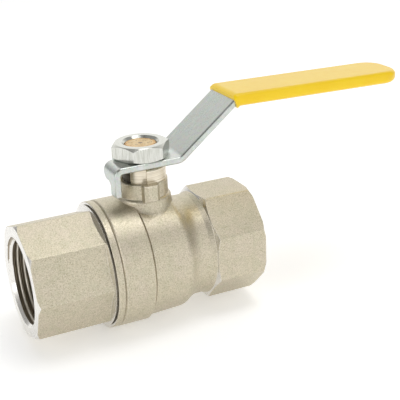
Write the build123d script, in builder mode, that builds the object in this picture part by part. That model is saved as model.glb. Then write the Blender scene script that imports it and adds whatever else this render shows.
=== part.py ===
from build123d import *
import os
from math import atan, cos, degrees, radians, sin, sqrt, tan

os.makedirs("parts", exist_ok=True)

# Frame: the origin is the centre of the ball, +X runs along the pipe towards the lever's
# grip, +Z is the stem. All lengths are in millimetres.

# pipe threads (G 1: major diameter 33.249, minor diameter 30.291)
thread_minor_r = 15.145
mouth_r = 16.75
thread_depth = 17.5
flow_r = 12.5

# overall stations along the pipe
face_a_x = -49.7
face_b_x = 40.4
octagon_af = 41.0
octagon_corner_r = octagon_af / 2 / cos(radians(22.5))
connector_turn = -20.3
end_chamfer = 0.95
end_face_r = 21.15
inner_bevel = 1.25
forged_edge_r = 0.7

# body shell
joint_x = -18.1
barrel_r = 24.1
barrel_end_x = -6.5
chamber_r = 23.0
cavity_r = 19.6
body_thread_r = 21.45
body_thread_end_x = -8.8
seat_pocket_r = 17.25
seat_back_x = 17.0
waist_r = 19.5
octagon_b_x = 20.0

# neck and stops
neck_bore_r = 7.05
neck_low_r = 9.2
neck_high_r = 8.75
neck_step_z = 31.0
neck_top_z = 36.2
pad_r = 10.15
pad_top_z = 24.7
counterbore_r = 8.7
counterbore_z = 22.5
relief_cuts = ((8.05, 216, 43), (7.6, 162, 54))
lug_top_z = 31.4
lug_reach = 12.6
lug_foot_z = 25.7
lug_corner = 1.45
pad_blend_r = 5.0
pad_blend_z = 23.3

# end connector
collar_r = 24.0
collar_x = -20.95
octagon_a_x = -21.5
shoulder_r = 22.9
groove_r = 22.3
spigot_r = 21.4
spigot_end_x = -9.45

# ball and seats
ball_r = 19.0
slot_width = 5.0
slot_floor_z = 14.6
seat_outer_r = 17.2
seat_front_x = 9.6
seat_gap = 0.05

# stem
stem_r = 7.0
stem_thread_r = 6.0
stem_flange_r = 8.6
stem_flange_z = 19.4
stem_flange_top_z = 21.3
tongue_width = 4.9
tongue_z = 14.9
flat_af = 12.1
stem_top_z = 44.2
groove_floor_r = 5.6
o_ring_groove = 2.4
o_ring_z = (26.2, 31.2)

# lever
lever_z = 36.7
lever_t = 2.5
lever_half = 9.6
lever_tail_r = 10.8
bend_low_x = 11.6
bend_high_x = 35.3
rise_z = 18.85
grip_slope = 0.019
lever_end_x = 107.2
tab_x = -14.2
tab_side_y = 1.5
tab_z = 33.2
finger_width = 5.0
finger_tip_z = 28.4
lever_edge_r = 0.8
end_round_r = 8.0

# grip sleeve
sleeve_wall = 1.15
sleeve_half = 10.6
sleeve_edge_r = 2.0
sleeve_lead = 1.3
sleeve_start_tilt = 21.0
sleeve_end_x = 109.1

# nut
nut_af = 19.0
nut_height = 5.7
nut_turn = -6.0


def arm_top(x):
    """Height of the lever's upper face along its grip."""
    return lever_z + lever_t + rise_z - grip_slope * (x - bend_high_x)


# ---------------------------------------------------------------- body
with BuildPart() as body_octagon:
    with BuildSketch(Plane.YZ.offset(octagon_b_x)):
        RegularPolygon(octagon_af / 2, 8, major_radius=False, rotation=22.5)
    extrude(amount=face_b_x - octagon_b_x)
    fillet(body_octagon.edges().filter_by(Axis.X), forged_edge_r)
    with BuildSketch(Plane.XZ):
        with BuildLine():
            Polyline(
                (octagon_b_x, 0),
                (octagon_b_x, 20.1),
                (octagon_b_x + inner_bevel, octagon_corner_r + 0.15),
                (face_b_x - end_chamfer, octagon_corner_r + 0.05),
                (face_b_x, end_face_r),
                (face_b_x, 0),
                close=True,
            )
        make_face()
    revolve(axis=Axis.X, mode=Mode.INTERSECT)

# the neck's base pad runs out into the chamber on a concave flare
pad_flare = [
    (pad_r + pad_blend_r * (1 - cos(radians(turn))), pad_blend_z - pad_blend_r * sin(radians(turn)))
    for turn in (28.7, 57.4)
]

with BuildPart() as body:
    with BuildSketch(Plane.XZ):
        with BuildLine():
            Polyline(
                (octagon_b_x + 1, 0),
                (joint_x, 0),
                (joint_x, barrel_r - 0.5),
                (joint_x + 0.5, barrel_r),
                (barrel_end_x - 0.3, barrel_r),
                (barrel_end_x, barrel_r - 0.3),
                (barrel_end_x, chamber_r - 0.4),
                (barrel_end_x + 0.45, chamber_r - 0.4),
                (barrel_end_x + 0.75, chamber_r),
                (7.4, 22.5),
            )
            Spline(
                (7.4, 22.5),
                (10.5, 21.1),
                (13.4, 19.75),
                (16.0, waist_r),
                tangents=((1, -0.06), (1, 0)),
            )
            Polyline((16.0, waist_r), (18.0, waist_r), (octagon_b_x, 20.1))
            Line((octagon_b_x, 20.1), (octagon_b_x + 1, 20.1))
            Line((octagon_b_x + 1, 20.1), (octagon_b_x + 1, 0))
        make_face()
    revolve(axis=Axis.X)
    add(body_octagon.part)
    # neck, its base pad and the two stop lugs
    with BuildSketch(Plane.XZ):
        with BuildLine():
            Polyline((0, 12), (pad_flare[1][0], 12), pad_flare[1])
            ThreePointArc(pad_flare[1], pad_flare[0], (pad_r, pad_blend_z))
            Line((pad_r, pad_blend_z), (pad_r, pad_top_z - 0.9))
            ThreePointArc(
                (pad_r, pad_top_z - 0.9),
                (pad_r - 0.3, pad_top_z - 0.1),
                (neck_low_r + 0.2, pad_top_z + 0.3),
            )
            ThreePointArc(
                (neck_low_r + 0.2, pad_top_z + 0.3),
                (neck_low_r + 0.06, pad_top_z + 0.4),
                (neck_low_r, pad_top_z + 0.6),
            )
            Polyline(
                (neck_low_r, pad_top_z + 0.6),
                (neck_low_r, neck_step_z - 0.3),
                (neck_low_r - 0.3, neck_step_z),
                (neck_high_r + 0.1, neck_step_z),
                (neck_high_r, neck_top_z - 0.5),
                (neck_high_r - 0.5, neck_top_z),
                (0, neck_top_z),
                (0, 12),
            )
        make_face()
    revolve(axis=Axis.Z)
    for side, low_x, high_x, corner in ((-1, -4.0, 1.9, lug_corner), (1, -4.3, 1.4, 0.3)):
        with BuildSketch(Plane.YZ.offset(low_x)):
            with BuildLine():
                Polyline(
                    (side * 6, lug_top_z),
                    (side * (lug_reach - 0.5), lug_top_z),
                    (side * lug_reach, lug_top_z - 0.5),
                    (side * lug_reach, lug_foot_z),
                    (side * pad_r, lug_foot_z - 1.2),
                    (side * 6, lug_foot_z - 1.2),
                    close=True,
                )
            make_face()
        extrude(amount=high_x - low_x)
        with BuildSketch(Plane.XY.offset(lug_foot_z - 1.1)):
            for corner_x, inward in ((low_x, 1), (high_x, -1)):
                with BuildLine():
                    Polyline(
                        (corner_x - 0.1 * inward, side * (lug_reach - corner)),
                        (corner_x + corner * inward, side * (lug_reach + 0.1)),
                        (corner_x - 0.1 * inward, side * (lug_reach + 0.1)),
                        close=True,
                    )
                make_face()
        extrude(amount=lug_top_z - lug_foot_z + 2, mode=Mode.SUBTRACT)
    # the upper neck is relieved in two steps beside the lever's tab
    for relief_r, relief_from, relief_span in relief_cuts:
        with BuildSketch(Plane.XY.offset(neck_step_z)):
            with BuildLine():
                inner = CenterArc((0, 0), relief_r, relief_from, relief_span)
                outer = CenterArc((0, 0), relief_r + 3, relief_from, relief_span)
                Line(inner @ 0, outer @ 0)
                Line(inner @ 1, outer @ 1)
            make_face()
        extrude(amount=neck_top_z - neck_step_z + 1, mode=Mode.SUBTRACT)
    # inside, turned from both ends
    with BuildSketch(Plane.XZ):
        with BuildLine():
            Polyline(
                (joint_x - 1, 0),
                (joint_x - 1, body_thread_r),
                (body_thread_end_x, body_thread_r),
                (body_thread_end_x, cavity_r),
                (9.0, cavity_r),
                (10.6, seat_pocket_r),
                (seat_back_x, seat_pocket_r),
                (seat_back_x, flow_r),
                (face_b_x - thread_depth - 1.2, flow_r),
                (face_b_x - thread_depth, thread_minor_r),
                (face_b_x - (mouth_r - thread_minor_r), thread_minor_r),
                (face_b_x, mouth_r),
                (face_b_x + 1, mouth_r),
                (face_b_x + 1, 0),
                close=True,
            )
        make_face()
    revolve(axis=Axis.X, mode=Mode.SUBTRACT)
    with BuildSketch(Plane.XY.offset(10)):
        Circle(counterbore_r)
    extrude(amount=counterbore_z - 10, mode=Mode.SUBTRACT)
    with BuildSketch(Plane.XY.offset(10)):
        Circle(neck_bore_r)
    extrude(amount=neck_top_z - 9, mode=Mode.SUBTRACT)

body.part.label = "body"
export_step(body.part, "parts/body.step")

# ---------------------------------------------------------------- end connector
with BuildPart() as connector_octagon:
    with BuildSketch(Plane.YZ.offset(face_a_x)):
        RegularPolygon(octagon_af / 2, 8, major_radius=False, rotation=22.5 + connector_turn)
    extrude(amount=octagon_a_x - face_a_x)
    fillet(connector_octagon.edges().filter_by(Axis.X), forged_edge_r)
    with BuildSketch(Plane.XZ):
        with BuildLine():
            Polyline(
                (face_a_x, 0),
                (face_a_x, end_face_r),
                (face_a_x + end_chamfer, octagon_corner_r + 0.05),
                (octagon_a_x, octagon_corner_r + 0.05),
                (octagon_a_x, 0),
                close=True,
            )
        make_face()
    revolve(axis=Axis.X, mode=Mode.INTERSECT)

with BuildPart() as end_connector:
    add(connector_octagon.part)
    with BuildSketch(Plane.XZ):
        with BuildLine():
            Polyline(
                (collar_x - 1.65, 0),
                (collar_x - 1.65, 19.9),
                (collar_x - 0.55, shoulder_r),
                (collar_x - 0.35, groove_r),
                (collar_x, groove_r),
                (collar_x, collar_r - 0.2),
                (collar_x + 0.2, collar_r),
                (joint_x - 0.45, collar_r),
                (joint_x - 0.05, collar_r - 0.4),
                (joint_x - 0.05, spigot_r - 0.8),
                (joint_x + 0.8, spigot_r - 0.8),
                (joint_x + 1.6, spigot_r),
                (spigot_end_x - 0.6, spigot_r),
                (spigot_end_x, spigot_r - 0.6),
                (spigot_end_x, 0),
                close=True,
            )
        make_face()
    revolve(axis=Axis.X)
    with BuildSketch(Plane.XZ):
        with BuildLine():
            Polyline(
                (face_a_x - 1, 0),
                (face_a_x - 1, mouth_r),
                (face_a_x, mouth_r),
                (face_a_x + mouth_r - thread_minor_r, thread_minor_r),
                (face_a_x + thread_depth, thread_minor_r),
                (face_a_x + thread_depth + 1.2, flow_r),
                (-seat_back_x, flow_r),
                (-seat_back_x, seat_pocket_r),
                (spigot_end_x - 0.5, seat_pocket_r),
                (spigot_end_x + 0.05, seat_pocket_r + 0.55),
                (spigot_end_x + 1, seat_pocket_r + 0.55),
                (spigot_end_x + 1, 0),
                close=True,
            )
        make_face()
    revolve(axis=Axis.X, mode=Mode.SUBTRACT)

end_connector.part.label = "end_connector"
export_step(end_connector.part, "parts/end_connector.step")

# ---------------------------------------------------------------- seal between body and connector
with BuildPart() as body_seal:
    with BuildSketch(Plane.XZ):
        with Locations(((spigot_end_x + body_thread_end_x) / 2, 19.75)):
            RectangleRounded(body_thread_end_x - spigot_end_x - 0.02, 2.3, 0.15)
    revolve(axis=Axis.X)

body_seal.part.label = "body_seal"
export_step(body_seal.part, "parts/body_seal.step")

# ---------------------------------------------------------------- ball
bore_lip_x = sqrt(ball_r**2 - flow_r**2) - 0.3
with BuildPart() as ball:
    Sphere(ball_r)
    with BuildSketch(Plane.XZ):
        with BuildLine():
            Polyline(
                (-ball_r, 0),
                (-ball_r, flow_r + ball_r - bore_lip_x),
                (-bore_lip_x, flow_r),
                (bore_lip_x, flow_r),
                (ball_r, flow_r + ball_r - bore_lip_x),
                (ball_r, 0),
                close=True,
            )
        make_face()
    revolve(axis=Axis.X, mode=Mode.SUBTRACT)
    with BuildSketch(Plane.XY.offset(slot_floor_z)):
        Rectangle(slot_width, 2 * ball_r)
    extrude(amount=ball_r, mode=Mode.SUBTRACT)

ball.part.label = "ball"
export_step(ball.part, "parts/ball.step")

# ---------------------------------------------------------------- seats
seat_sphere_r = ball_r + seat_gap
seat_lip_x = sqrt(seat_sphere_r**2 - flow_r**2)
seat_rim_r = sqrt(seat_sphere_r**2 - seat_front_x**2)
seat_mid = (
    seat_sphere_r * cos(0.5 * (atan(flow_r / seat_lip_x) + atan(seat_rim_r / seat_front_x))),
    seat_sphere_r * sin(0.5 * (atan(flow_r / seat_lip_x) + atan(seat_rim_r / seat_front_x))),
)
with BuildPart() as seat_ring_b:
    with BuildSketch(Plane.XZ):
        with BuildLine():
            ThreePointArc((seat_lip_x, flow_r), seat_mid, (seat_front_x, seat_rim_r))
            Polyline(
                (seat_front_x, seat_rim_r),
                (seat_front_x, seat_outer_r),
                (seat_back_x - 0.02, seat_outer_r),
                (seat_back_x - 0.02, flow_r),
                (seat_lip_x, flow_r),
            )
        make_face()
    revolve(axis=Axis.X)

with BuildPart() as seat_ring_a:
    add(mirror(seat_ring_b.part, about=Plane.YZ, mode=Mode.PRIVATE))

seat_ring_b.part.label = "seat_ring_b"
export_step(seat_ring_b.part, "parts/seat_ring_b.step")
seat_ring_a.part.label = "seat_ring_a"
export_step(seat_ring_a.part, "parts/seat_ring_a.step")

# ---------------------------------------------------------------- stem
with BuildPart() as stem:
    with BuildSketch(Plane.XZ):
        with BuildLine():
            Polyline(
                (0, stem_flange_z),
                (stem_flange_r - 0.3, stem_flange_z),
                (stem_flange_r, stem_flange_z + 0.3),
                (stem_flange_r, stem_flange_top_z),
                (stem_r, stem_flange_top_z),
                (stem_r, o_ring_z[0]),
                (groove_floor_r, o_ring_z[0]),
                (groove_floor_r, o_ring_z[0] + o_ring_groove),
                (stem_r, o_ring_z[0] + o_ring_groove),
                (stem_r, o_ring_z[1]),
                (groove_floor_r, o_ring_z[1]),
                (groove_floor_r, o_ring_z[1] + o_ring_groove),
                (stem_r, o_ring_z[1] + o_ring_groove),
                (stem_r, lever_z + lever_t - 0.2),
                (stem_thread_r, lever_z + lever_t - 0.2),
                (stem_thread_r, stem_top_z - 0.5),
                (stem_thread_r - 0.5, stem_top_z),
                (0, stem_top_z),
                close=True,
            )
        make_face()
    revolve(axis=Axis.Z)
    # two flats carry the lever
    with BuildSketch(Plane.XY.offset(lever_z)):
        with Locations((0, flat_af / 2 + 3), (0, -flat_af / 2 - 3)):
            Rectangle(2 * stem_r + 2, 6)
    extrude(amount=lever_t, mode=Mode.SUBTRACT)
    # tongue that turns the ball
    with BuildSketch(Plane.XY.offset(tongue_z)):
        Circle(stem_r - 0.1)
        Rectangle(tongue_width, 2 * stem_r, mode=Mode.INTERSECT)
    extrude(amount=stem_flange_z - tongue_z)

stem.part.label = "stem"
export_step(stem.part, "parts/stem.step")

# ---------------------------------------------------------------- stem seals
with BuildPart() as thrust_washer:
    with BuildSketch(Plane.XY.offset(stem_flange_top_z)):
        Circle(stem_flange_r)
        Circle(stem_r + 0.02, mode=Mode.SUBTRACT)
    extrude(amount=counterbore_z - stem_flange_top_z - 0.03)

thrust_washer.part.label = "thrust_washer"
export_step(thrust_washer.part, "parts/thrust_washer.step")


def o_ring(base_z):
    """One stem O-ring, squeezed flat between its groove and the neck's bore."""
    ring_r = neck_bore_r - 0.03
    with BuildPart() as ring:
        with BuildSketch(Plane.XZ):
            with Locations(((groove_floor_r + ring_r) / 2, base_z + o_ring_groove / 2)):
                RectangleRounded(ring_r - groove_floor_r - 0.01, 2.0, 0.6)
        revolve(axis=Axis.Z)
    return ring


stem_o_ring_lower = o_ring(o_ring_z[0])
stem_o_ring_lower.part.label = "stem_o_ring_lower"
export_step(stem_o_ring_lower.part, "parts/stem_o_ring_lower.step")

stem_o_ring_upper = o_ring(o_ring_z[1])
stem_o_ring_upper.part.label = "stem_o_ring_upper"
export_step(stem_o_ring_upper.part, "parts/stem_o_ring_upper.step")

# ---------------------------------------------------------------- lever
top_z = lever_z + lever_t
incline = atan(rise_z / (bend_high_x - bend_low_x))
fall = atan(grip_slope)
low_shift = lever_t * tan(incline / 2)
high_shift = lever_t * tan((incline + fall) / 2)
low_in = (bend_low_x + low_shift, lever_z)
high_in = (bend_high_x + high_shift * cos(fall), arm_top(bend_high_x) - lever_t)

with BuildPart() as lever_handle:
    with BuildSketch(Plane.XZ) as lever_side:
        with BuildLine():
            Polyline(
                (tab_x, finger_tip_z),
                (tab_x, top_z),
                (bend_low_x, top_z),
                (bend_high_x, arm_top(bend_high_x)),
                (lever_end_x, arm_top(lever_end_x)),
                (lever_end_x, arm_top(lever_end_x) - lever_t),
                high_in,
                low_in,
                (tab_x + lever_t, lever_z),
                (tab_x + lever_t, finger_tip_z),
                close=True,
            )
        make_face()
        fillet(lever_side.vertices().filter_by_position(Axis.X, tab_x - 0.1, tab_x + 0.1)
               .sort_by(Axis.Y)[-1:], 3.3)
        fillet(lever_side.vertices().filter_by_position(
            Axis.X, tab_x + lever_t - 0.1, tab_x + lever_t + 0.1).sort_by(Axis.Y)[-1:], 0.9)
        for spot, bend_r in (
            ((bend_low_x, top_z), 3.0),
            (low_in, 5.5),
            ((bend_high_x, arm_top(bend_high_x)), 5.5),
            (high_in, 3.0),
        ):
            fillet(lever_side.vertices().sort_by_distance((*spot, 0))[0], bend_r)
    extrude(amount=lever_half, both=True)
    # rounded tail on one side, tab and finger on the other
    with BuildSketch(Plane.XY.offset(20)):
        with BuildLine():
            Polyline((tab_x - 2, tab_side_y), (tab_x - 2, 12), (0, 12), (0, lever_tail_r))
            tail_deg = degrees(atan(tab_side_y / sqrt(lever_tail_r**2 - tab_side_y**2)))
            CenterArc((0, 0), lever_tail_r, 90, 90 - tail_deg)
            Line((-sqrt(lever_tail_r**2 - tab_side_y**2), tab_side_y), (tab_x - 2, tab_side_y))
        make_face()
    extrude(amount=top_z - 19, mode=Mode.SUBTRACT)
    with BuildSketch(Plane.YZ.offset(tab_x - 1)):
        with BuildLine():
            Polyline(
                (-lever_half + finger_width, finger_tip_z - 1),
                (-lever_half + finger_width, tab_z - 1.5),
                (-lever_half + finger_width + 1.5, tab_z),
                (tab_side_y - 1.5, tab_z),
                (tab_side_y, tab_z + 1.5),
                (tab_side_y + 12, tab_z + 1.5),
                (tab_side_y + 12, finger_tip_z - 1),
                close=True,
            )
        make_face()
    extrude(amount=lever_t + 1.2, mode=Mode.SUBTRACT)
    # double-D hole
    with BuildSketch(Plane.XY.offset(lever_z - 1)):
        Circle(stem_r + 0.03)
        Rectangle(2 * stem_r + 2, flat_af + 0.06, mode=Mode.INTERSECT)
    extrude(amount=lever_t + 2, mode=Mode.SUBTRACT)
    # round the far end in plan
    corner_edges = lever_handle.edges().filter_by(Axis.Y, reverse=True).filter_by_position(
        Axis.X, lever_end_x - 0.2, lever_end_x + 0.2
    ).filter_by(lambda e: e.length < 3)
    fillet(corner_edges, end_round_r - 1)
    # tumbled outer edges
    rim = lever_handle.faces().filter_by(
        lambda f: f.center().X > 20 and abs(f.normal_at().Y) > 0.9
    )
    soft = [e for f in rim for e in f.edges() if e.length > 4]
    fillet(soft, lever_edge_r)

lever_handle.part.label = "lever_handle"
export_step(lever_handle.part, "parts/lever_handle.step")

# ---------------------------------------------------------------- grip sleeve
def meet(point_a, way_a, point_b, way_b):
    """Where two lines of the lever's side view cross."""
    det = way_a[0] * -way_b[1] + way_b[0] * way_a[1]
    gap = (point_b[0] - point_a[0], point_b[1] - point_a[1])
    t = (gap[0] * -way_b[1] + way_b[0] * gap[1]) / det
    return (point_a[0] + t * way_a[0], point_a[1] + t * way_a[1])


up_way = (cos(incline), sin(incline))
grip_way = (cos(fall), -sin(fall))
skin = (-sleeve_wall * sin(incline), sleeve_wall * cos(incline))
skin_top = (bend_high_x + skin[0], arm_top(bend_high_x) + skin[1])
skin_low = (high_in[0] - skin[0], high_in[1] - skin[1])
line_top = (bend_high_x, arm_top(bend_high_x) + sleeve_wall)
line_low = (bend_high_x, arm_top(bend_high_x) - lever_t - sleeve_wall)
lip_top = (skin_top[0] - sleeve_lead * up_way[0], skin_top[1] - sleeve_lead * up_way[1])
lip_way = (sin(radians(sleeve_start_tilt)), -cos(radians(sleeve_start_tilt)))
lip_low = meet(lip_top, lip_way, skin_low, up_way)
lip_back = (lip_low[0] - 0.8 * lip_way[0], lip_low[1] - 0.8 * lip_way[1])
lip_heel = (lip_low[0] + 0.3 * up_way[0], lip_low[1] + 0.3 * up_way[1])
lip_front = (lip_top[0] + 0.75 * lip_way[0], lip_top[1] + 0.75 * lip_way[1])
lip_crest = (lip_top[0] + 0.35 * up_way[0], lip_top[1] + 0.35 * up_way[1])
knee_top = meet(skin_top, up_way, line_top, grip_way)
knee_low = meet(skin_low, up_way, line_low, grip_way)

with BuildPart() as grip_sleeve:
    with BuildSketch(Plane.XZ) as sleeve_side:
        with BuildLine():
            Polyline(
                lip_heel,
                lip_back,
                lip_front,
                lip_crest,
                knee_top,
                (sleeve_end_x, arm_top(sleeve_end_x) + sleeve_wall),
                (sleeve_end_x, arm_top(sleeve_end_x) - lever_t - sleeve_wall),
                knee_low,
                close=True,
            )
        make_face()
        for spot, bend_r in ((knee_top, 3.2), (knee_low, 1.8)):
            fillet(sleeve_side.vertices().sort_by_distance((*spot, 0))[0], bend_r)
    extrude(amount=sleeve_half, both=True)
    end_edges = grip_sleeve.edges().filter_by_position(
        Axis.X, sleeve_end_x - 0.2, sleeve_end_x + 0.2
    ).filter_by(lambda e: abs(e.tangent_at(0.5).Z) > 0.9)
    fillet(end_edges, end_round_r)
    long_edges = grip_sleeve.edges().filter_by(
        lambda e: abs(e.tangent_at(0.5).Z) < 0.7 and (e @ 0.5).X > lip_crest[0] + 0.2
        and not lip_back[0] - 0.15 < (e @ 0.5).X < lip_heel[0] + 0.1
    )
    fillet(long_edges, sleeve_edge_r)
    # the lever's blade fills the sleeve
    add(lever_handle.part, mode=Mode.SUBTRACT)

grip_sleeve.part.label = "grip_sleeve"
export_step(grip_sleeve.part, "parts/grip_sleeve.step")

# ---------------------------------------------------------------- nut
with BuildPart() as handle_nut:
    with BuildSketch(Plane.XY.offset(lever_z + lever_t)):
        RegularPolygon(nut_af / 2, 6, major_radius=False, rotation=nut_turn)
        Circle(stem_thread_r + 0.02, mode=Mode.SUBTRACT)
    extrude(amount=nut_height)
    nut_top_z = lever_z + lever_t + nut_height
    nut_corner_r = nut_af / 2 / cos(radians(30))
    with BuildSketch(Plane.XZ):
        with BuildLine():
            Polyline(
                (stem_thread_r - 1, lever_z + lever_t),
                (nut_af / 2 - 0.15, lever_z + lever_t),
                (nut_corner_r + 0.1, lever_z + lever_t + 0.95),
                (nut_corner_r + 0.1, nut_top_z - 1.05),
                (nut_af / 2 - 0.35, nut_top_z),
                (stem_thread_r + 0.95, nut_top_z),
                (stem_thread_r, nut_top_z - 0.95),
                (stem_thread_r - 1, nut_top_z - 0.95),
                close=True,
            )
        make_face()
    revolve(axis=Axis.Z, mode=Mode.INTERSECT)

handle_nut.part.label = "handle_nut"
export_step(handle_nut.part, "parts/handle_nut.step")
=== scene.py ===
import math

import bmesh
import bpy
import numpy as np
from mathutils import Matrix, Vector


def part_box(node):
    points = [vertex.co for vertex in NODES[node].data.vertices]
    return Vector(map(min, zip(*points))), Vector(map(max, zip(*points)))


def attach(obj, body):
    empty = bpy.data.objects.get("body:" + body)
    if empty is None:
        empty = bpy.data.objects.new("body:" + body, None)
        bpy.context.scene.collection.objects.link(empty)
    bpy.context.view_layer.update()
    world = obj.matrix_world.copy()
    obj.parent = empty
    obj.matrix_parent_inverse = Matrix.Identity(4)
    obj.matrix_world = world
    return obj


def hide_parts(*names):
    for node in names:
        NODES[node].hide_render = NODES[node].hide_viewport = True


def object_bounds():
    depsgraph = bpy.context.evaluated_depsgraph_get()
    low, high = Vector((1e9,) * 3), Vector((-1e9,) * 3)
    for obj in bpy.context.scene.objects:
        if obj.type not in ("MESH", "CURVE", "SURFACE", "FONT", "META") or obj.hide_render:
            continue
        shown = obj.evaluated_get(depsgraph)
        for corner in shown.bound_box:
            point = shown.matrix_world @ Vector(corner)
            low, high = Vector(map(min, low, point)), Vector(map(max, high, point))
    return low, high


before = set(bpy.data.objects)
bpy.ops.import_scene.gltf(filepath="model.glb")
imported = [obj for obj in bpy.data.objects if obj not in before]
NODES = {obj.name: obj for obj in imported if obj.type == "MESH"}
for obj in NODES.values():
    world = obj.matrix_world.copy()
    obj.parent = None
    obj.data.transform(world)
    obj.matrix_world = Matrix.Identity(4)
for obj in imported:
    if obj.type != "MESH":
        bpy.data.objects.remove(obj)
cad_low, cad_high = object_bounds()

MM = 0.001


# ---------------------------------------------------------------- camera
# The pipe points past the camera's left shoulder, and the view looks down on the valve.
AIM = Vector((23.05, 0.0, 16.84)) * MM
AZIMUTH, ELEVATION, ROLL = math.radians(-25.0), math.radians(21.8), math.radians(-2.347)
DISTANCE = 361.4 * MM
LENS, SENSOR = 84.55, 36.0


def make_camera():
    back = Vector((math.sin(AZIMUTH) * math.cos(ELEVATION),
                   -math.cos(AZIMUTH) * math.cos(ELEVATION),
                   math.sin(ELEVATION)))
    data = bpy.data.cameras.new("camera")
    data.lens, data.sensor_width = LENS, SENSOR
    data.clip_start, data.clip_end = 0.01, 50.0
    camera = bpy.data.objects.new("camera", data)
    bpy.context.scene.collection.objects.link(camera)
    turn = (-back).to_track_quat("-Z", "Y").to_matrix().to_4x4()
    camera.matrix_world = Matrix.Translation(AIM + back * DISTANCE) @ turn @ Matrix.Rotation(ROLL, 4, "Z")
    bpy.context.scene.camera = camera


make_camera()


# ---------------------------------------------------------------- node materials
class Look:
    """A node material being put together round one Principled shader."""

    def __init__(self, name, **sockets):
        self.material = bpy.data.materials.new(name)
        self.material.use_nodes = True
        self.tree = self.material.node_tree
        self.shader = self.tree.nodes["Principled BSDF"]
        for socket, value in sockets.items():
            self.shader.inputs[socket.replace("_", " ")].default_value = value
        self.here = self.node("ShaderNodeTexCoord").outputs["Object"]
        split = self.node("ShaderNodeSeparateXYZ", {0: self.here})
        self.x, self.y, self.z = split.outputs

    def node(self, kind, inputs=None, **settings):
        made = self.tree.nodes.new(kind)
        for key, value in settings.items():
            setattr(made, key, value)
        for key, value in (inputs or {}).items():
            if isinstance(value, bpy.types.NodeSocket):
                self.tree.links.new(value, made.inputs[key])
            else:
                made.inputs[key].default_value = value
        return made

    def math(self, operation, a, b=0.0):
        return self.node("ShaderNodeMath", {0: a, 1: b}, operation=operation).outputs[0]

    def radius(self, a, b):
        """Distance from the axis across which a and b run."""
        return self.math("SQRT", self.math("ADD", self.math("MULTIPLY", a, a), self.math("MULTIPLY", b, b)))

    def noise(self, size, detail=2.0, roughness=0.5, stretch=(1, 1, 1)):
        """Noise whose features are about size millimetres, longer where stretch is below 1."""
        where = self.node("ShaderNodeVectorMath", {0: self.here, 1: stretch}, operation="MULTIPLY")
        return self.node("ShaderNodeTexNoise", {"Vector": where.outputs[0], "Scale": 1 / (size * MM),
                                                "Detail": detail, "Roughness": roughness}).outputs["Fac"]

    def rings(self, along, pitch, detail=3.0):
        """Uneven tool marks, one about every pitch millimetres."""
        step = self.math("MULTIPLY", along, 1 / (pitch * MM))
        return self.node("ShaderNodeTexNoise", {"W": step, "Scale": 1.0, "Detail": detail},
                         noise_dimensions="1D").outputs["Fac"]

    def cells(self, size):
        return self.node("ShaderNodeTexVoronoi", {"Vector": self.here, "Scale": 1 / (size * MM)})

    def ramp(self, value, low, high, at_low=0.0, at_high=1.0):
        return self.node("ShaderNodeMapRange", {0: value, 1: low, 2: high, 3: at_low, 4: at_high},
                         interpolation_type="SMOOTHSTEP").outputs[0]

    def mix(self, factor, a, b, blend="MIX"):
        made = self.node("ShaderNodeMix", data_type="RGBA", blend_type=blend)
        for index, value in ((0, factor), (6, a), (7, b)):
            if isinstance(value, bpy.types.NodeSocket):
                self.tree.links.new(value, made.inputs[index])
            else:
                made.inputs[index].default_value = value if index == 0 else (*value, 1)
        return made.outputs[2]

    def edge(self, radius):
        """1 along the piece's edges, falling to 0 radius millimetres in; it masks painted highlights along
        the edges.
        """
        soft = self.node("ShaderNodeBevel", {"Radius": radius * MM}, samples=6).outputs[0]
        flat = self.node("ShaderNodeNewGeometry").outputs["Normal"]
        lean = self.node("ShaderNodeVectorMath", {0: soft, 1: flat}, operation="DOT_PRODUCT").outputs["Value"]
        return self.ramp(lean, 0.995, 0.9)

    def bump(self, height, depth, strength=1.0, under=None):
        made = self.node("ShaderNodeBump", {"Height": height, "Distance": depth * MM, "Strength": strength})
        if under is not None:
            self.tree.links.new(under, made.inputs["Normal"])
        return made.outputs[0]

    def rounded(self, radius):
        """Normal that rolls over the piece's sharp edges."""
        return self.node("ShaderNodeBevel", {"Radius": radius * MM}, samples=6).outputs[0]

    def feed(self, **outputs):
        for socket, value in outputs.items():
            self.tree.links.new(value, self.shader.inputs[socket.replace("_", " ")])
        return self.material


def blasted_nickel():
    """Shot-blasted forging under matt nickel plate."""
    look = Look("nickel_blasted", Metallic=1.0)
    grain = look.noise(0.42, detail=3.0, roughness=0.7)
    fine = look.noise(0.22, detail=2.0, roughness=0.6)
    pits = look.ramp(look.cells(0.9).outputs["Distance"], 0.1, 0.24)
    tone = look.mix(look.ramp(look.noise(11.0, 3.0), 0.35, 0.65), (0.61, 0.555, 0.425), (0.615, 0.55, 0.44))
    tone = look.mix(look.ramp(look.noise(3.4, 2.0), 0.4, 0.7), tone, (0.565, 0.525, 0.395))
    tone = look.mix(look.ramp(grain, 0.34, 0.56, 0.7, 0.0), tone, (0.355, 0.315, 0.215))
    tone = look.mix(look.ramp(fine, 0.52, 0.72, 0.0, 0.75), tone, (0.83, 0.79, 0.70))
    tone = look.mix(look.math("MULTIPLY", look.math("SUBTRACT", 1.0, pits), 0.5), tone, (0.27, 0.235, 0.16))
    # Painted highlight: lighter nickel along the edges.
    tone = look.mix(look.math("MULTIPLY", look.edge(0.45), 0.5), tone, (0.86, 0.82, 0.74))
    rough = look.ramp(grain, 0.3, 0.7, 0.52, 0.38)
    relief = look.bump(pits, 0.03, 0.4, look.bump(grain, 0.06, 0.6, look.rounded(0.25)))
    return look.feed(Base_Color=tone, Roughness=rough, Normal=relief)


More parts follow.
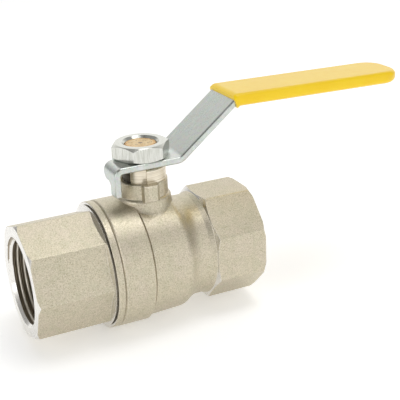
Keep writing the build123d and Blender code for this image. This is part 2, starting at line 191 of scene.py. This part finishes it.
def turned_nickel(name, axis, light, dark, rough_low, rough_high, pitch=0.16, painted_root_shade=None):
    """Lathe-turned nickel, with rings round the axis. Painted shade darkens it between two radii in
    millimetres, for the roots of a thread.
    """
    look = Look(name, Metallic=1.0)
    if axis == "X":
        along, across = look.x, look.radius(look.y, look.z)
    else:
        along, across = look.z, look.radius(look.x, look.y)
    marks = look.rings(look.math("ADD", along, across), pitch)
    wide = look.rings(look.math("ADD", along, look.math("MULTIPLY", across, 1.3)), pitch * 6)
    stain = look.noise(2.6, 4.0, 0.6)
    tone = look.mix(look.ramp(marks, 0.3, 0.7), dark, light)
    tone = look.mix(look.ramp(stain, 0.5, 0.75, 0.0, 0.4), tone, tuple(0.72 * c for c in light))
    # Painted shade: dark brown towards the outer radius, standing in for the shade in the thread's roots.
    if painted_root_shade:
        deep = look.ramp(across, painted_root_shade[0] * MM, painted_root_shade[1] * MM, 0.0, 0.85)
        tone = look.mix(deep, tone, look.mix(stain, (0.13, 0.10, 0.065), (0.36, 0.30, 0.21)))
    rough = look.ramp(look.math("ADD", wide, stain), 0.7, 1.3, rough_low, rough_high)
    relief = look.bump(wide, 0.02, 0.35, look.bump(marks, 0.012, 0.5, look.rounded(0.12)))
    return look.feed(Base_Color=tone, Roughness=rough, Normal=relief)


def zinc_steel():
    """Pressed steel strip under clear-passivated zinc."""
    look = Look("zinc_plated_steel", Metallic=1.0)
    grain = look.noise(0.22, 3.0, 0.6)
    drawn = look.noise(0.3, 3.0, 0.6, stretch=(0.06, 1, 0.06))
    spangle = look.cells(1.1).outputs["Color"]
    cloud = look.noise(6.0, 3.0)
    tone = look.mix(look.ramp(cloud, 0.35, 0.65), (0.57, 0.61, 0.575), (0.63, 0.65, 0.615))
    tone = look.mix(look.ramp(grain, 0.35, 0.6, 0.55, 0.0), tone, (0.36, 0.39, 0.365))
    tone = look.mix(look.ramp(drawn, 0.5, 0.75, 0.0, 0.45), tone, (0.76, 0.79, 0.77))
    tone = look.mix(0.1, tone, spangle, "SOFT_LIGHT")
    # Painted highlight: lighter zinc along the edges.
    tone = look.mix(look.math("MULTIPLY", look.edge(0.35), 0.5), tone, (0.85, 0.86, 0.83))
    rough = look.ramp(look.math("ADD", grain, cloud), 0.7, 1.3, 0.24, 0.36)
    relief = look.bump(drawn, 0.012, 0.4, look.bump(grain, 0.02, 0.45, look.rounded(0.3)))
    return look.feed(Base_Color=tone, Roughness=rough, Normal=relief)


def plated_nut():
    """Bright zinc on a nut, drawn lines down its flats and turning rings on its top."""
    look = Look("bright_zinc_nut", Metallic=1.0)
    drawn = look.noise(0.26, 3.0, 0.6, stretch=(1, 1, 0.04))
    turned = look.rings(look.radius(look.x, look.y), 0.2)
    facing = look.node("ShaderNodeNewGeometry").outputs["Normal"]
    up = look.node("ShaderNodeSeparateXYZ", {0: facing}).outputs[2]
    top = look.ramp(up, 0.25, 0.4)
    marks = look.math("ADD", look.math("MULTIPLY", top, turned),
                      look.math("MULTIPLY", look.math("SUBTRACT", 1.0, top), drawn))
    cloud = look.noise(2.2, 3.0)
    tone = look.mix(look.ramp(marks, 0.35, 0.65), (0.54, 0.545, 0.49), (0.72, 0.725, 0.685))
    # Painted shade: the up-facing top is made darker, for how the light falls on it.
    tone = look.mix(look.math("MULTIPLY", top, 0.6), tone, (0.50, 0.505, 0.465))
    tone = look.mix(look.ramp(cloud, 0.5, 0.72, 0.0, 0.4), tone, (0.66, 0.67, 0.62))
    # Painted highlight: near-white zinc along the nut's edges.
    tone = look.mix(look.math("MULTIPLY", look.edge(0.22), 0.6), tone, (0.93, 0.93, 0.91))
    rough = look.ramp(cloud, 0.3, 0.7, 0.16, 0.27)
    relief = look.bump(marks, 0.016, 0.6, look.rounded(0.14))
    return look.feed(Base_Color=tone, Roughness=rough, Normal=relief)


def brass():
    """Turned brass, with an orange rim, a few specks and a dark spot at the centre of its end."""
    look = Look("turned_brass", Metallic=1.0)
    rings = look.rings(look.math("ADD", look.radius(look.x, look.y), look.z), 0.18)
    cloud = look.noise(1.6, 3.0)
    spots = look.ramp(look.noise(0.9, 2.0), 0.6, 0.68)
    out = look.radius(look.x, look.y)
    tone = look.mix(look.ramp(rings, 0.3, 0.7), (0.44, 0.30, 0.13), (0.66, 0.51, 0.27))
    tone = look.mix(look.ramp(out, 4.0 * MM, 5.2 * MM, 0.0, 0.75), tone, (0.55, 0.29, 0.07))
    tone = look.mix(look.ramp(cloud, 0.45, 0.7, 0.0, 0.5), tone, (0.50, 0.30, 0.10))
    tone = look.mix(look.ramp(out, 1.1 * MM, 0.6 * MM), tone, (0.20, 0.13, 0.06))
    tone = look.mix(spots, tone, (0.16, 0.10, 0.05))
    rough = look.ramp(cloud, 0.3, 0.7, 0.22, 0.36)
    relief = look.bump(spots, 0.05, 0.6, look.bump(rings, 0.014, 0.5, look.rounded(0.15)))
    return look.feed(Base_Color=tone, Roughness=rough, Normal=relief)


def vinyl():
    """Dip-moulded yellow vinyl, glossy, with a faint orange-peel skin."""
    look = Look("yellow_vinyl_skin", Specular_IOR_Level=0.36, IOR=1.5, Coat_Weight=0.12, Coat_Roughness=0.12)
    peel = look.noise(2.8, 2.0)
    cloud = look.noise(14.0, 3.0)
    scuff = look.ramp(look.noise(0.5, 4.0, 0.7, stretch=(0.25, 1, 1)), 0.66, 0.8)
    tone = look.mix(look.ramp(cloud, 0.35, 0.65), (0.90, 0.60, 0.004), (0.91, 0.635, 0.008))
    tone = look.mix(look.ramp(peel, 0.45, 0.7, 0.0, 0.3), tone, (0.89, 0.58, 0.004))
    tone = look.mix(look.math("MULTIPLY", scuff, 0.15), tone, (0.93, 0.74, 0.12))
    rough = look.ramp(look.math("ADD", peel, scuff), 0.35, 1.1, 0.3, 0.38)
    return look.feed(Base_Color=tone, Roughness=rough, Normal=look.bump(peel, 0.02, 0.15))


def ptfe():
    """Waxy white seats and seals."""
    look = Look("ptfe_white", Specular_IOR_Level=0.4, Subsurface_Weight=0.15, Subsurface_Scale=0.0008)
    rings = look.rings(look.math("ADD", look.radius(look.y, look.z), look.x), 0.25)
    cloud = look.noise(3.0, 3.0)
    tone = look.mix(look.ramp(cloud, 0.35, 0.7), (0.86, 0.86, 0.84), (0.78, 0.78, 0.75))
    return look.feed(Base_Color=tone, Roughness=look.ramp(rings, 0.3, 0.7, 0.38, 0.52),
                     Normal=look.bump(rings, 0.02, 0.4))


def rubber():
    """Matt black O-rings."""
    look = Look("black_seal_rubber", Specular_IOR_Level=0.4)
    grain = look.noise(0.15, 3.0, 0.6)
    tone = look.mix(look.ramp(look.noise(2.0), 0.4, 0.7), (0.018, 0.018, 0.019), (0.035, 0.035, 0.036))
    return look.feed(Base_Color=tone, Roughness=look.ramp(grain, 0.3, 0.7, 0.45, 0.62),
                     Normal=look.bump(grain, 0.02, 0.4))


def chrome():
    """Hard chrome on the ball, polished, with hairline marks where the seats wipe it."""
    look = Look("polished_chrome", Metallic=1.0)
    wipe = look.rings(look.z, 0.12)
    bore = look.ramp(look.radius(look.y, look.z), 12.9 * MM, 12.4 * MM)
    bored = look.rings(look.x, 0.2)
    tone = look.mix(look.ramp(wipe, 0.3, 0.7), (0.66, 0.68, 0.69), (0.74, 0.75, 0.76))
    tone = look.mix(bore, tone, look.mix(look.ramp(bored, 0.3, 0.7), (0.45, 0.44, 0.42), (0.62, 0.61, 0.58)))
    rough = look.math("ADD", look.ramp(wipe, 0.4, 0.8, 0.05, 0.12), look.math("MULTIPLY", bore, 0.2))
    relief = look.bump(look.math("MULTIPLY", bore, bored), 0.01, 0.5, look.bump(wipe, 0.002, 0.3))
    return look.feed(Base_Color=tone, Roughness=rough, Normal=relief)


BLASTED = blasted_nickel()
TURNED = turned_nickel("nickel_turned", "X", (0.88, 0.865, 0.83), (0.68, 0.655, 0.61), 0.16, 0.30)
NECK = turned_nickel("nickel_turned_neck", "Z", (0.86, 0.79, 0.66), (0.62, 0.55, 0.42), 0.28, 0.40, 0.45)
# Painted shade: near-black nickel for the neck's relief, standing in for the shade there.
RECESS_PAINTED_SHADE = turned_nickel("nickel_recess_painted_shade", "Z", (0.10, 0.09, 0.07), (0.05, 0.045, 0.035), 0.35, 0.5, 0.3)
# The thread's roots, from 15.4 to 16.4 mm out, are painted dark as shade.
THREAD = turned_nickel("nickel_thread", "X", (0.88, 0.84, 0.77), (0.66, 0.61, 0.51), 0.32, 0.46, 0.1,
                       painted_root_shade=(15.4, 16.4))
# Painted shade: dark nickel for the groove by the collar, standing in for the shade in it.
GROOVE_PAINTED_SHADE = turned_nickel("nickel_groove_painted_shade", "X", (0.36, 0.33, 0.27), (0.16, 0.14, 0.11), 0.35, 0.5, 0.3)

for names, finish in (
    (("lever_handle",), zinc_steel()),
    (("handle_nut",), plated_nut()),
    (("stem",), brass()),
    (("grip_sleeve",), vinyl()),
    (("seat_ring_a", "seat_ring_b", "thrust_washer", "body_seal"), ptfe()),
    (("stem_o_ring_lower", "stem_o_ring_upper"), rubber()),
    (("ball",), chrome()),
):
    for name in names:
        NODES[name].material_slots[0].material = finish


# ---------------------------------------------------------------- forged shells with real pipe threads
# Female G 1 threads, cut where the CAD nodes have plain walls at the thread's minor radius.
THREAD_MINOR, THREAD_MAJOR = 15.145 * MM, 16.62 * MM
PITCH = 2.309 * MM
THREAD_LENGTH = 17.5 * MM
RUNOUT = 1.6 * PITCH
MOUTH = 16.75 * MM
TURN_STEPS, PITCH_STEPS = 160, 14


def shell(node, name, is_wall, finishes, finish_of):
    """Copies a CAD node without its port's plain wall, and sorts its faces into finishes."""
    mesh = NODES[node].data
    corner_normals = np.zeros(len(mesh.loops) * 3, np.float32)
    mesh.corner_normals.foreach_get("vector", corner_normals)
    corner_normals = corner_normals.reshape(-1, 3)
    points, faces, kept_normals, kinds = [v.co for v in mesh.vertices], [], [], []
    used = {}
    for face in mesh.polygons:
        spread = [points[v] for v in face.vertices]
        middle = sum(spread, Vector()) / len(spread)
        if all(is_wall(p) for p in spread):
            continue
        faces.append(tuple(used.setdefault(v, len(used)) for v in face.vertices))
        kept_normals += [corner_normals[i] for i in face.loop_indices]
        kinds.append(finish_of(middle, face.normal))
    made = bpy.data.meshes.new(name)
    made.from_pydata([points[v] for v in used], [], faces)
    made.polygons.foreach_set("material_index", kinds)
    for finish in finishes:
        made.materials.append(finish)
    for face in made.polygons:
        face.use_smooth = True
    made.normals_split_custom_set(kept_normals)
    piece = bpy.data.objects.new(name, made)
    bpy.context.scene.collection.objects.link(piece)
    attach(piece, "housing")
    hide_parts(node)
    return piece


def thread_depth_at(turn):
    """0 on a crest and 1 at a root, for a place along the thread in turns."""
    tooth = abs((turn % 1.0) * 2 - 1)
    return 0.5 - 0.5 * math.cos(math.pi * min(1.0, max(0.0, tooth * 1.24 - 0.12)))


def port_thread(name, face_x, inward):
    """One port's female thread, a height field wound along its helix."""
    turns = THREAD_LENGTH / PITCH
    rows = [i / PITCH_STEPS for i in range(-PITCH_STEPS, int(turns * PITCH_STEPS) + 2)]
    points = []
    for step in range(TURN_STEPS + 1):
        angle = 2 * math.pi * step / TURN_STEPS
        for row in rows:
            deep = min(THREAD_LENGTH, max(0.0, PITCH * (row + step / TURN_STEPS)))
            fade = min(1.0, (THREAD_LENGTH - deep) / RUNOUT)
            cut = THREAD_MINOR + (THREAD_MAJOR - THREAD_MINOR) * thread_depth_at(row) * fade
            radius = max(cut, MOUTH - deep)
            side, up = radius * math.cos(angle), inward * radius * math.sin(angle)
            points.append((face_x + inward * deep, side, up))
    count = len(rows)
    faces = []
    for step in range(TURN_STEPS):
        for i in range(count - 1):
            a = step * count + i
            faces.append((a, a + 1, a + count + 1, a + count))
    mesh = bpy.data.meshes.new(name)
    mesh.from_pydata(points, [], faces)
    work = bmesh.new()
    work.from_mesh(mesh)
    bmesh.ops.remove_doubles(work, verts=work.verts, dist=0.0005 * MM)
    bmesh.ops.dissolve_degenerate(work, edges=work.edges, dist=0.0005 * MM)
    for face in work.faces:
        middle = face.calc_center_median()
        cone = MOUTH - (middle.x - face_x) * inward
        on_cone = abs(math.hypot(middle.y, middle.z) - cone) < 0.03 * MM
        face.material_index = 1 if on_cone else 0
        face.smooth = not on_cone
        if face.normal.dot(Vector((0, middle.y, middle.z))) > 0:
            face.normal_flip()
    work.to_mesh(mesh)
    work.free()
    mesh.materials.append(THREAD)
    mesh.materials.append(TURNED)
    piece = bpy.data.objects.new(name, mesh)
    bpy.context.scene.collection.objects.link(piece)
    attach(piece, "housing")
    return piece


connector_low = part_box("end_connector")[0].x
body_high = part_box("body")[1].x
NEAR = 0.02 * MM
BORE_TURNED = 17.4 * MM
END_CHAMFER = 1.5 * MM
SHOULDER, SHOULDER_TOP = -22.7 * MM, -21.4 * MM
GROOVE_LOW, GROOVE_HIGH = -21.48 * MM, -20.93 * MM
GROOVE_INNER, GROOVE_OUTER = 22.0 * MM, 23.5 * MM
NECK_FOOT, NECK_OUTER, NECK_TOP = 31.0 * MM, 9.1 * MM, 36.1 * MM
RELIEF_INNER, RELIEF_OUTER = 7.2 * MM, 7.8 * MM
INNER_BEVEL_LOW, INNER_BEVEL_HIGH = 19.9 * MM, 21.4 * MM
TILTED = 0.3


def wall_at(face_x, inward):
    """Tells the port's plain wall, which the thread replaces."""
    slack = 0.01 * MM

    def is_wall(p):
        deep = (p.x - face_x) * inward
        in_port = -slack < deep < THREAD_LENGTH + slack
        return in_port and math.hypot(p.y, p.z) < MOUTH + NEAR
    return is_wall


def connector_finish(middle, normal):
    """0 blasted, 1 turned, 2 groove by the collar, painted dark as shade."""
    radius = math.hypot(middle.y, middle.z)
    if GROOVE_LOW < middle.x < GROOVE_HIGH and GROOVE_INNER < radius < GROOVE_OUTER:
        # The groove's floor and back wall get the painted shade; its face towards -X stays turned.
        return 1 if normal.x < -TILTED else 2
    turned = radius < BORE_TURNED or middle.x < connector_low + NEAR
    end_chamfer = middle.x < connector_low + END_CHAMFER and normal.x < -TILTED
    shoulder = SHOULDER < middle.x < SHOULDER_TOP and normal.x < -TILTED
    return 1 if turned or end_chamfer or shoulder else 0


def body_finish(middle, normal):
    """0 blasted, 1 turned, 2 turned neck, 3 relief in the neck, painted dark as shade."""
    radius = math.hypot(middle.y, middle.z)
    across = math.hypot(middle.x, middle.y)
    if middle.z > NECK_FOOT and across < NECK_OUTER:
        # Faces in the neck's relief band get the painted shade.
        return 3 if RELIEF_INNER < across < RELIEF_OUTER and middle.z < NECK_TOP else 2
    turned = radius < BORE_TURNED and middle.z < BORE_TURNED or middle.x > body_high - NEAR
    end_chamfer = middle.x > body_high - END_CHAMFER and normal.x > TILTED
    inner_bevel = INNER_BEVEL_LOW < middle.x < INNER_BEVEL_HIGH and normal.x < -TILTED
    return 1 if turned or end_chamfer or inner_bevel else 0


shell("end_connector", "connector_shell", wall_at(connector_low, 1),
      (BLASTED, TURNED, GROOVE_PAINTED_SHADE), connector_finish)
shell("body", "body_shell", wall_at(body_high, -1),
      (BLASTED, TURNED, NECK, RECESS_PAINTED_SHADE), body_finish)
port_thread("connector_thread", connector_low, 1)
port_thread("body_thread", body_high, -1)


# ---------------------------------------------------------------- floor
def make_floor():
    half = 4.0
    low = cad_low.z
    mesh = bpy.data.meshes.new("floor")
    mesh.from_pydata([(-half, -half, low), (half, -half, low), (half, half, low), (-half, half, low)],
                     [], [(0, 1, 2, 3)])
    floor = bpy.data.objects.new("floor", mesh)
    bpy.context.scene.collection.objects.link(floor)
    look = Look("pale_floor", Specular_IOR_Level=0.1)
    cloud = look.noise(180.0, 2.0)
    tone = look.mix(look.ramp(cloud, 0.3, 0.7), (0.88, 0.88, 0.88), (0.90, 0.90, 0.90))
    look.shader.inputs["Emission Color"].default_value = (1, 1, 1, 1)
    look.shader.inputs["Emission Strength"].default_value = 0.34
    floor.data.materials.append(look.feed(Base_Color=tone, Roughness=look.ramp(cloud, 0.3, 0.7, 0.8, 0.9)))


make_floor()


# ---------------------------------------------------------------- soft studio light
def softbox(name, place, size, power):
    data = bpy.data.lights.new(name, "AREA")
    data.shape, data.size, data.energy = "SQUARE", size, power
    lamp = bpy.data.objects.new(name, data)
    bpy.context.scene.collection.objects.link(lamp)
    lamp.location = place
    lamp.rotation_euler = (AIM - Vector(place)).to_track_quat("-Z", "Y").to_euler()
    lamp.visible_camera = False


softbox("key_left", (-0.95, -0.35, 0.40), 0.6, 2.1)
softbox("top_fill", (0.25, -0.1, 1.2), 0.7, 4.4)


def make_sky():
    """White studio walls: brightest behind the valve, with the dark opening above the camera."""
    world = bpy.data.worlds.new("studio")
    bpy.context.scene.world = world
    world.use_nodes = True
    tree = world.node_tree
    ground = tree.nodes["Background"]

    def node(kind, inputs, **settings):
        made = tree.nodes.new(kind)
        for key, value in settings.items():
            setattr(made, key, value)
        for key, value in inputs.items():
            if isinstance(value, bpy.types.NodeSocket):
                tree.links.new(value, made.inputs[key])
            else:
                made.inputs[key].default_value = value
        return made

    heading = node("ShaderNodeTexCoord", {}).outputs["Generated"]

    def glow(direction, wide, tight, amount):
        """amount towards direction, fading between the two angles from it, in degrees."""
        toward = Vector(direction).normalized()
        dot = node("ShaderNodeVectorMath", {0: heading, 1: toward}, operation="DOT_PRODUCT").outputs["Value"]
        return node("ShaderNodeMapRange", {0: dot, 1: math.cos(math.radians(wide)),
                                           2: math.cos(math.radians(tight)), 3: 0.0, 4: amount},
                    interpolation_type="SMOOTHSTEP").outputs[0]

    level = glow((0.45, 0.85, 0.25), 58, 20, 0.85)
    for lobe, sign in (
        (glow((-0.90, -0.40, 0.05), 45, 15, 0.45), "ADD"),
        (glow((0.30, -0.90, 0.15), 55, 20, 0.74), "ADD"),
        (glow((-0.45, -0.55, 0.70), 40, 16, 0.36), "SUBTRACT"),
    ):
        level = node("ShaderNodeMath", {0: level, 1: lobe}, operation=sign).outputs[0]
    level = node("ShaderNodeMath", {0: level, 1: 0.42}, operation="ADD").outputs[0]
    level = node("ShaderNodeMath", {0: level, 1: 0.03}, operation="MAXIMUM").outputs[0]
    tree.links.new(level, ground.inputs["Strength"])
    ground.inputs["Color"].default_value = (1.0, 0.995, 0.98, 1)


make_sky()
bpy.context.scene.view_settings.view_transform = "Standard"
